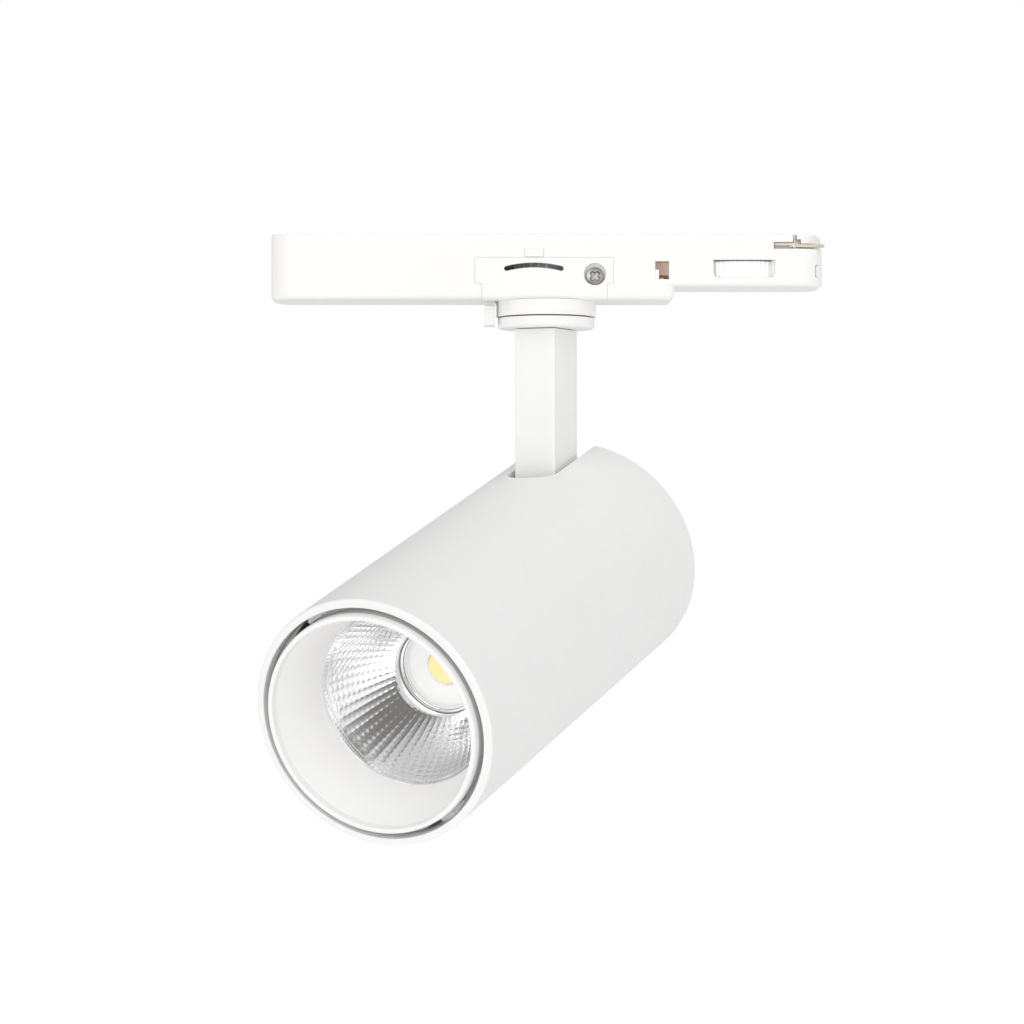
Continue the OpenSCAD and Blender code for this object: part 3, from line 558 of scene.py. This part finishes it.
def build_baffle():
    """Anti-glare cone; its rounded lip stands a little in front of the tube, and a thin flange
    closes the gap around it except beside the clips."""
    lip = 1.9 * MM
    front = FRONT_X + lip
    skirt_r, skirt_end = 43.4 * MM, 32 * MM
    back = FRONT_X - RIM_DEPTH + 0.05 * MM
    cone_r, mouth_r = 35.15 * MM, 41.15 * MM
    wall = 1.4 * MM
    # depth behind the rim in millimetres, and how far the cone has opened there
    cone = [(27.3, 0), (20, 0.27), (13, 0.52), (6, 0.78), (1, 0.95)]
    profile = [(FRONT_X - d * MM, cone_r + (mouth_r - cone_r) * k) for d, k in cone]
    profile += arc(front - 0.5 * MM, mouth_r + 0.55 * MM, 0.5 * MM, 265, 360, 6)
    profile += arc(front - 0.45 * MM, 42.55 * MM, 0.45 * MM, 5, 75, 5)
    profile += [(FRONT_X - 0.4 * MM, skirt_r - 0.05 * MM)]
    profile += [(FRONT_X - d * MM, skirt_r) for d in (1, 6, 14, 22)]
    profile += [(FRONT_X - skirt_end, skirt_r), (FRONT_X - skirt_end, skirt_r - wall),
                (FRONT_X - 3.2 * MM, skirt_r - wall), (back, cone_r + wall)]
    bm = bmesh.new()
    join_rings(bm, [turned_ring(bm, x, r, 288) for x, r in profile], closed=True)
    opening = 4.5                    # degrees left open on each side of a clip
    flange_x = (FRONT_X - 7.5 * MM, FRONT_X - 6 * MM)
    flange_r = 45.58 * MM
    for here, after in (CLIP_ANGLES, (CLIP_ANGLES[1], CLIP_ANGLES[0] - 360)):
        flange_block(bm, *flange_x, skirt_r - 0.05 * MM, flange_r, after + opening, here - opening)
    piece = make_object("baffle_cone", bm, "baffle", AXIS, 35)
    # slot 1 is the lip, brightened by a faint painted emission; slot 2 is the grey painted shade of the
    # skirt's outer wall and the flange
    for look in ("lip", "skirt"):
        piece.data.materials.append(MAT[look])
    inv = AXIS.inverted()
    for p in piece.data.polygons:
        middle = inv @ p.center
        if middle.x > FRONT_X - 0.8 * MM:
            p.material_index = 1
        elif math.hypot(middle.y, middle.z) > skirt_r - 0.2 * MM:
            p.material_index = 2
    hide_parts("baffle")
    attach(piece, "head")


def build_clips():
    """Bent spring strips between the baffle's skirt and the tube."""
    bm = bmesh.new()
    half_w, thick, crown = 3.3 * MM, 0.3 * MM, 0.15 * MM
    # depth behind the rim and radius, in millimetres
    path = [(19.5, 43.75), (16, 44.3), (13, 45.35), (10.4, 45.5), (8.2, 45.4), (7.5, 45.0), (7.3, 44.2),
            (7.6, 43.6), (8.4, 43.5)]
    for angle in CLIP_ANGLES:
        turn = Matrix.Rotation(math.radians(angle), 4, "X")
        curve = [turn @ Vector((FRONT_X - d * MM, r * MM, 0)) for d, r in path]
        strip(bm, smooth_path(curve, 4), turn @ Vector((0, 0, 1)), half_w, thick, 6, crown)
    piece = make_object("spring_clips", bm, "clip", AXIS, 40)
    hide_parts("baffle_clips")
    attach(piece, "head")


# ---------------------------------------------------------------- fasteners

def drive_depth(px, py, reach, arm):
    """Depth of a cross recess at a point of a screw head: 1 in its middle, 0 outside its arms."""
    r = math.hypot(px, py)
    across = min(abs(px), abs(py))
    narrow = arm * (1 - 0.35 * min(1.0, r / reach))
    side = max(0.0, min(1.0, (narrow - across) / (0.12 * reach)))
    end = max(0.0, min(1.0, (reach - r) / (0.22 * reach)))
    return side * end * (1 - 0.25 * r / reach)


def screw_head(bm, matrix, radius, height, reach, depth, turn=45, spokes=96, rings=26):
    """Pan head with a cross recess; its flat underside lies on the local plane z 0. Returns the
    ring of vertices around its underside."""
    flat_share, dome_drop, arm_share = 0.93, 0.3, 0.52
    top = []
    cos_t, sin_t = math.cos(math.radians(turn)), math.sin(math.radians(turn))
    for k in range(1, rings + 1):
        r = radius * flat_share * k / rings
        dome = height * (1 - dome_drop * (r / radius) ** 2)
        ring = []
        for i in range(spokes):
            a = TAU * i / spokes
            x, y = r * math.cos(a), r * math.sin(a)
            px, py = x * cos_t + y * sin_t, y * cos_t - x * sin_t
            z = dome - depth * drive_depth(px, py, reach, reach * arm_share)
            ring.append(bm.verts.new(matrix @ Vector((x, y, z))))
        top.append(ring)
    for r, z in ((0.975, 0.62), (1.0, 0.48), (1.0, 0.1), (0.985, 0.0)):
        ring = []
        for i in range(spokes):
            a = TAU * i / spokes
            spot = Vector((radius * r * math.cos(a), radius * r * math.sin(a), height * z))
            ring.append(bm.verts.new(matrix @ spot))
        top.append(ring)
    middle = bm.verts.new(matrix @ Vector((0, 0, height - depth)))
    for i in range(spokes):
        j = (i + 1) % spokes
        bm.faces.new((middle, top[0][i], top[0][j]))
    join_rings(bm, top)
    return top[-1]


def thread(bm, matrix, radius, length, base_ring, pitch, spokes=96):
    """Shank with a rolled thread down to a chamfered tip, joined to the head's base ring."""
    crest = 0.14 * radius
    tip = 0.72                       # share of the shank's radius that is left at its tip
    rows = [base_ring]
    neck = 0.6 * pitch
    steps = int((length - neck) / pitch * 8)
    for k in range(steps + 1):
        z = -neck - (length - neck) * k / steps
        fade = min(1.0, (length + z) / pitch)
        ring = []
        for i in range(spokes):
            phase = (z / pitch - i / spokes) % 1.0
            r = (radius - crest * abs(2 * phase - 1)) * (tip + (1 - tip) * fade)
            a = TAU * i / spokes
            ring.append(bm.verts.new(matrix @ Vector((r * math.cos(a), r * math.sin(a), z))))
        rows.append(ring)
    join_rings(bm, rows)
    bm.faces.new(list(reversed(rows[-1])))


def screw_place(point, direction):
    """Matrix whose +Z points along direction, out of the screw's head."""
    turn = Vector(direction).to_track_quat("Z", "Y").to_matrix().to_4x4()
    return Matrix.Translation(point) @ turn


def islands(node, matrix):
    """Boxes of a node's separate solids in a local frame, as (lowest corner, highest corner)."""
    mesh = frame["nodes"][node].data
    parent = list(range(len(mesh.vertices)))

    def root(i):
        while parent[i] != i:
            parent[i] = parent[parent[i]]
            i = parent[i]
        return i

    spots = {}
    for v in mesh.vertices:
        key = tuple(round(c * 1e6) for c in v.co)
        if key in spots:
            parent[root(v.index)] = root(spots[key])
        spots[key] = v.index
    for e in mesh.edges:
        parent[root(e.vertices[0])] = root(e.vertices[1])
    groups = {}
    inv = matrix.inverted()
    for v in mesh.vertices:
        groups.setdefault(root(v.index), []).append(inv @ v.co)
    boxes = []
    for points in groups.values():
        boxes.append((Vector(min(p[k] for p in points) for k in range(3)),
                      Vector(max(p[k] for p in points) for k in range(3))))
    return sorted(boxes, key=lambda b: tuple(round(c, 4) for c in b[0]))


# node, body, local frame, axis along the screw, side its head is on, and in millimetres the head's
# height, the shank's radius and the thread's pitch
SCREW_SETS = (
    ("cover_screws", "adapter", Matrix(), 2, 1, 1.2, 1.25, 0.8),
    ("block_screws", "adapter", Matrix(), 2, 1, 1.9, 1.4, 0.8),
    ("board_screws", "adapter", Matrix(), 2, 1, 1.5, 1.2, 0.8),
    ("stem_screws", "swivel", STEM, 2, 1, 1.8, 1.25, 0.7),
    ("cap_screws", "head", AXIS, 0, -1, 2.0, 1.5, 0.6),
    ("bracket_screws", "head", HEAD, 0, -1, 2.4, 1.6, 0.7),
    ("holder_screws", "head", AXIS, 0, 1, 1.6, 1.25, 0.6),
)


def build_screw_set(node, body, matrix, axis, side, head_height, shank_radius, pitch):
    """Cross-recessed, threaded screws in the places of a node's plain ones."""
    bm = bmesh.new()
    spokes = 48
    height = head_height * MM
    for lo, hi in islands(node, matrix):
        seat = (lo + hi) / 2
        seat[axis] = hi[axis] - height if side > 0 else lo[axis] + height
        out = Vector((0, 0, 0))
        out[axis] = side
        radius = (hi[(axis + 1) % 3] - lo[(axis + 1) % 3]) / 2
        length = hi[axis] - lo[axis] - height
        place = screw_place(seat, out)
        ring = screw_head(bm, place, radius, height, radius * 0.6, height * 0.55, 20, spokes, 14)
        thread(bm, place, shank_radius * 0.98 * MM, length * 0.98, ring, pitch * MM, spokes)
    piece = make_object(node.replace("_screws", "_cross_screws"), bm, "zinc", matrix, 40)
    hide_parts(node)
    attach(piece, body)


def build_tension_screw():
    """M4 screw seen in the round hole of the T-shaped plate."""
    lo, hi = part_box("tension_screw")
    radius = (hi[2] - lo[2]) / 2
    height, shank_r, pitch = 2.1 * MM, 1.96 * MM, 0.7 * MM
    recess_r, recess_depth = 2.4 * MM, 1.5 * MM
    spokes = 128
    seat = Vector(((lo[0] + hi[0]) / 2, lo[1] + height, (lo[2] + hi[2]) / 2))
    length = hi[1] - seat.y - 0.1 * MM
    bm = bmesh.new()
    place = screw_place(seat, (0, -1, 0))
    ring = screw_head(bm, place, radius, height, recess_r, recess_depth, 45, spokes, 40)
    thread(bm, place, shank_r, length, ring, pitch, spokes)
    piece = make_object("tension_screw_m4", bm, "screw", None, 40)
    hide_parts("tension_screw")
    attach(piece, "pan_lock")


# ---------------------------------------------------------------- adapter pieces

def build_scale():
    """Pan scale: pale ticks on the dark drum every 15 degrees, with longer ones every 30."""
    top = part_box("scale_drum")[1][2] - 0.8 * MM
    radius = 13 * MM
    sunk, proud, bevel = -0.05 * MM, 0.1 * MM, 0.06 * MM
    count = 24
    bm = bmesh.new()
    for k in range(count):
        a = TAU * k / count
        long_tick = k % 2 == 0
        height = (3.4 if long_tick else 1.7) * MM
        width = 0.7 * MM if long_tick else 0.45 * MM
        turn = Matrix.Rotation(a, 4, "Z")
        rows = []
        for out, inset in ((sunk, 0), (proud, bevel)):
            half = width / 2 - inset
            corners = ((-half, top - height + inset), (half, top - height + inset),
                       (half, top - inset), (-half, top - inset))
            rows.append([bm.verts.new(turn @ Vector((radius + out, y, z))) for y, z in corners])
        join_rings(bm, rows)
        cap_ends(bm, rows)
    piece = make_object("scale_ticks", bm, "tick")
    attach(piece, "swivel")


def build_leaf(name, node, sign, panel_x, foot_x):
    """Copper leaf whose flat panel looks out through its window. sign is -1 on the front side;
    panel_x and foot_x are the lowest and highest x of its two parts, in millimetres."""
    lo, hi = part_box(node)
    wall_y = HALF_W - 2 * MM
    inset_y = wall_y - 0.7 * MM
    foot_top = hi[2] - 7.6 * MM
    thick, crown = 0.45 * MM, 0.25 * MM
    foot = [(7 * MM, lo[2] + 0.1 * MM), (wall_y - 1.4 * MM, lo[2] + 0.1 * MM),
            (inset_y, lo[2] + 0.9 * MM), (inset_y, foot_top)]
    panel = [(inset_y, foot_top - 0.8 * MM), (wall_y - 0.4 * MM, foot_top - 0.2 * MM),
             (wall_y, foot_top + 0.3 * MM), (wall_y, hi[2] - 0.1 * MM)]
    bm = bmesh.new()
    for points, (x0, x1) in ((foot, foot_x), (panel, panel_x)):
        middle = (x0 + x1) / 2 * MM
        path = smooth_path([(middle, sign * y, z) for y, z in points], 6)
        strip(bm, path, (-sign, 0, 0), (x1 - x0) / 2 * MM, thick, 8, crown)
    piece = make_object(name, bm, "copper", None, 40)
    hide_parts(node)
    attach(piece, "adapter")


def build_window_keys():
    """Pale moulded keys that hold the edges of the two contact leaves in their windows."""
    inner, outer = HALF_W - 1.3 * MM, HALF_W - 0.55 * MM
    low, high = 10.0 * MM, 14.1 * MM
    bevel = 0.3 * MM
    bm = bmesh.new()
    for sign, x0, x1 in ((-1, 43.85 * MM, 45.6 * MM), (1, 57.9 * MM, 59.5 * MM)):
        rows = []
        for y, inset in ((inner, 0.0), (outer - bevel, 0.0), (outer, bevel)):
            corners = ((x0, low), (x1 - inset, low), (x1 - inset, high - inset), (x0, high - inset))
            rows.append([bm.verts.new((x, sign * y, z)) for x, z in corners])
        join_rings(bm, rows)
        cap_ends(bm, rows)
    piece = make_object("window_keys", bm, "catch")
    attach(piece, "adapter")


def build_blade_guard():
    """Pale moulded wall in the phase notch, close behind the swinging blade, with shallow ribs. Its material
    has a painted emission that lifts the shade in the notch.
    """
    lo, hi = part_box("phase_blade")
    left, right = lo[0] + 0.3 * MM, lo[0] + 10.6 * MM
    low, high = lo[2] - 0.5 * MM, hi[2] + 1.4 * MM
    front, back = lo[1] + 4.4 * MM, lo[1] + 5.2 * MM
    bevel, rib = 0.2 * MM, 0.18 * MM
    columns = 24
    bm = bmesh.new()
    rows = []
    for i in range(columns + 1):
        x = left + (right - left) * i / columns
        face = front - rib if i % 8 == 4 else front
        section = ((face, low + bevel), (face, high - bevel), (front + bevel, high),
                   (back, high), (back, low), (front + bevel, low))
        rows.append([bm.verts.new((x, y, z)) for y, z in section])
    join_rings(bm, rows)
    cap_ends(bm, rows)
    piece = make_object("blade_guard", bm, "guard")
    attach(piece, "adapter")


# ---------------------------------------------------------------- spring and cables

def build_latch_spring():
    """Coil spring under the release slider, with a closed turn at each end."""
    lo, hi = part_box("latch_spring")
    wire = 0.35 * MM
    turns, per_turn = 9, 24
    radius = (hi[0] - lo[0]) / 2 - wire
    low, high = lo[2] + wire, hi[2] - wire
    closed = 2.4 * wire
    pitch = (high - low - 2 * closed) / (turns - 2)
    x, y = (lo[0] + hi[0]) / 2, (lo[1] + hi[1]) / 2
    path = []
    for k in range(turns * per_turn + 1):
        t = k / per_turn
        rise = closed * min(t, 1) + pitch * max(0, min(t, turns - 1) - 1) + closed * max(0, t - turns + 1)
        path.append((x + radius * math.cos(TAU * t), y + radius * math.sin(TAU * t), low + rise))
    bm = bmesh.new()
    tube(bm, path, wire, 10)
    piece = make_object("latch_spring_coil", bm, "spring", None, 50)
    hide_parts("latch_spring")
    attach(piece, "adapter")
    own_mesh(piece)


def build_supply_loop():
    """Sheathed cable from the terminal block, in a slack turn, down to the hub."""
    lo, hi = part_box("terminal_block")
    cable_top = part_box("stem_cable")[1][2]
    entry = Vector((hi[0] + 0.5 * MM, (lo[1] + hi[1]) / 2, (lo[2] + hi[2]) / 2))
    cover_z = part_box("adapter_cover")[0][2]
    crest = cover_z - 2.4 * MM
    last_still = (-9 * MM, 7.2 * MM, crest)
    points = [entry, entry + Vector((4 * MM, 0, 1 * MM)), (-29 * MM, 7.5 * MM, 17 * MM),
              (-20 * MM, 9.5 * MM, crest - 1.2 * MM), last_still, (-1.6 * MM, 2.2 * MM, crest),
              (0, 0, crest - 1.3 * MM), (0, 0, cable_top - 2.5 * MM)]
    bm = bmesh.new()
    tube(bm, smooth_path(points, 7), 1.95 * MM, 18)
    piece = make_object("supply_loop", bm, "sheath", None, 50)
    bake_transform(piece)


def build_head_leads():
    """Two leads from the stem's side hole through the bracket to the light."""
    pivot = JOINTS["tilt"]["pos_m"][2]
    start = Vector((4 * MM, 0, pivot + 9 * MM))
    bm = bmesh.new()
    for lo, hi in islands("led_leads", HEAD):
        side = 1 if lo[1] > 0 else -1
        end = Vector((lo[0] + 1 * MM, (lo[1] + hi[1]) / 2, (lo[2] + hi[2]) / 2))
        near = HEAD @ (end - Vector((3.5 * MM, 0, 0)))
        first = STEM @ (start + Vector((0, side * 1.1 * MM, 0)))
        second = STEM @ (start + Vector((7.5 * MM, side * 1.2 * MM, 0.3 * MM)))
        bend = (second + near) / 2 + STEM.to_3x3() @ Vector((1.6 * MM, side * 0.8 * MM, 0.4 * MM))
        tube(bm, smooth_path([first, second, bend, near, HEAD @ end], 8), 0.85 * MM, 12)
    piece = make_object("head_leads", bm, "sheath", None, 50)
    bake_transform(piece)


# ---------------------------------------------------------------- light, floor and camera

class World:
    """Node tree of the studio surround, with directions as its input."""

    def __init__(self):
        world = bpy.data.worlds.new("studio")
        bpy.context.scene.world = world
        world.use_nodes = True
        self.tree = world.node_tree
        self.tree.nodes.clear()
        self.out = self.node("ShaderNodeOutputWorld")
        self.path = self.node("ShaderNodeLightPath")
        self.way = self.node("ShaderNodeTexCoord").outputs["Generated"]

    def node(self, kind):
        return self.tree.nodes.new(kind)

    def link(self, a, b):
        self.tree.links.new(a, b)

    def toward(self, direction, low, high, low_at, high_at):
        """Colour that goes from low to high as the ray turns towards a direction."""
        dot = self.node("ShaderNodeVectorMath")
        dot.operation = "DOT_PRODUCT"
        dot.inputs[1].default_value = Vector(direction).normalized()
        self.link(self.way, dot.inputs[0])
        half = self.node("ShaderNodeMapRange")
        half.inputs["From Min"].default_value = -1
        self.link(dot.outputs["Value"], half.inputs["Value"])
        ramp = self.node("ShaderNodeValToRGB")
        for k, (at, c) in enumerate(((low_at, low), (high_at, high))):
            ramp.color_ramp.elements[k].position = (at + 1) / 2
            ramp.color_ramp.elements[k].color = (*c, 1)
        self.link(half.outputs[0], ramp.inputs[0])
        return ramp.outputs[0]

    def times(self, a, b):
        """Product of two colours."""
        mix = self.node("ShaderNodeMix")
        mix.data_type = "RGBA"
        mix.blend_type = "MULTIPLY"
        mix.inputs["Factor"].default_value = 1
        self.link(a, mix.inputs["A"])
        self.link(b, mix.inputs["B"])
        return mix.outputs["Result"]

    def background(self, colour, strength):
        """Light of a colour, or white where there is none."""
        b = self.node("ShaderNodeBackground")
        b.inputs["Color"].default_value = (1, 1, 1, 1)
        b.inputs["Strength"].default_value = strength
        if colour:
            self.link(colour, b.inputs["Color"])
        return b.outputs[0]

    def choose(self, ray, otherwise, then):
        """One light for rays of a kind and another for the rest."""
        mix = self.node("ShaderNodeMixShader")
        self.link(self.path.outputs[ray], mix.inputs[0])
        self.link(otherwise, mix.inputs[1])
        self.link(then, mix.inputs[2])
        return mix.outputs[0]


GREY_LOW = (0.2, 0.2, 0.202)
ROOM = (0.11, 0.105, 0.10)
WHITE_BOX = (1.0, 1.0, 1.0)
# dark cards at the spotlight's two sides: direction, colour there, and the cosines of the angle from
# it at which the card starts and is full
CARDS = (
    ((-1.0, 0.45, 0.15), (0.25, 0.25, 0.25), 0.5, 0.85),
    ((1.0, 0.55, 0.15), (0.4, 0.4, 0.4), 0.5, 0.85),
)
# darker patches that only shiny pieces see, in the same terms
ROOM_PATCHES = (
    ((0.1, -0.45, 0.88), ROOM, 0.82, 0.93),
    ((0.62, -0.62, 0.48), (0.42, 0.42, 0.42), 0.90, 0.96),
    ((-0.6, 0.3, 0.75), (0.5, 0.49, 0.48), 0.86, 0.93),
    ((-0.56, -0.62, -0.55), (0.2, 0.195, 0.187), 0.72, 0.9),
    ((0.5, -0.75, -0.5), (0.6, 0.6, 0.6), 0.76, 0.93),
    ((0.0, 1.0, -0.1), (0.5, 0.5, 0.5), 0.6, 0.95),
)


def darkened(w, light, patches):
    """The light times each patch."""
    for direction, colour, start, full in patches:
        light = w.times(light, w.toward(direction, WHITE_BOX, colour, start, full))
    return light


def build_world():
    """White studio surround, brighter in front than behind. Shiny pieces see white soft boxes with
    the dark room between them instead."""
    matt_strength, shiny_strength = 1.21, 1.22
    w = World()
    matt = darkened(w, w.toward((-0.1, -1.0, 0.12), GREY_LOW, WHITE_BOX, -0.65, 0.9), CARDS)
    direction, colour, start, full = ROOM_PATCHES[0]
    shiny = darkened(w, w.toward(direction, WHITE_BOX, colour, start, full), ROOM_PATCHES[1:])
    lit = w.background(matt, matt_strength)
    surround = w.choose("Is Glossy Ray", lit, w.background(shiny, shiny_strength))
    w.link(w.choose("Is Camera Ray", surround, w.background(None, 1.0)), w.out.inputs[0])


def area_light(name, place, target, size, power):
    """Round soft light aimed at a target."""
    data = bpy.data.lights.new(name, "AREA")
    data.shape = "DISK"
    data.size = size
    data.energy = power
    lamp = bpy.data.objects.new(name, data)
    lamp.location = place
    lamp.rotation_euler = (Vector(target) - Vector(place)).to_track_quat("-Z", "Y").to_euler()
    bpy.context.scene.collection.objects.link(lamp)


def build_floor():
    """Pale floor well below the hanging spotlight. It glows, more in view than on the parts."""
    bm = bmesh.new()
    size, floor_z = 30.0, -0.62
    corners = ((-size, -size), (size, -size), (size, size), (-size, size))
    bm.faces.new([bm.verts.new((x, y, floor_z)) for x, y in corners])
    s = Shade("pale_floor")
    colour = s.ramp(s.noise(0.8, 2), (0.83, 0.83, 0.83), (0.85, 0.85, 0.85))
    seen = s.node("ShaderNodeLightPath").outputs["Is Camera Ray"]
    glow_on_parts, glow_in_view = 0.37, 0.7
    s.link(s.span(seen, glow_on_parts, glow_in_view), s.bsdf.inputs["Emission Strength"])
    MAT["floor"] = s.finish(colour, None, None, Roughness=0.9, Emission_Color=(1, 1, 1, 1))
    floor = make_object("floor", bm, "floor")
    floor.visible_glossy = False


def build_camera():
    """Long lens, almost level, from in front and slightly left of the stem."""
    data = bpy.data.cameras.new("camera")
    data.lens = 117.8
    data.sensor_width = 36
    cam = bpy.data.objects.new("camera", data)
    cam.location = (-0.0278, -1.376, -0.1037)
    yaw, pitch = 0.0100, 0.0141
    ahead = Vector((math.sin(yaw) * math.cos(pitch), math.cos(yaw) * math.cos(pitch), math.sin(pitch)))
    cam.rotation_euler = ahead.to_track_quat("-Z", "Y").to_euler()
    bpy.context.scene.collection.objects.link(cam)
    bpy.context.scene.camera = cam


def build_studio():
    """Surround, floor, camera and two soft lights."""
    build_world()
    build_floor()
    build_camera()
    target = (0, 0, -0.1)
    area_light("key", (-0.9, -2.0, 0.1), target, 1.4, 4.5)
    area_light("fill", (1.2, -0.9, 1.3), target, 1.2, 2.0)
    view = bpy.context.scene.view_settings
    view.view_transform = "Standard"
    view.look = "None"


dress_nodes()
build_reflector()
build_baffle()
build_clips()
build_tension_screw()
for row in SCREW_SETS:
    build_screw_set(*row)
build_latch_spring()
build_supply_loop()
build_head_leads()
build_scale()
build_leaf("earth_leaf", "earth_contact", -1, (43.7, 49.8), (43.0, 47.4))
build_leaf("neutral_leaf", "neutral_contact", 1, (58.2, 64.2), (60.6, 64.2))
build_window_keys()
build_blade_guard()
build_studio()
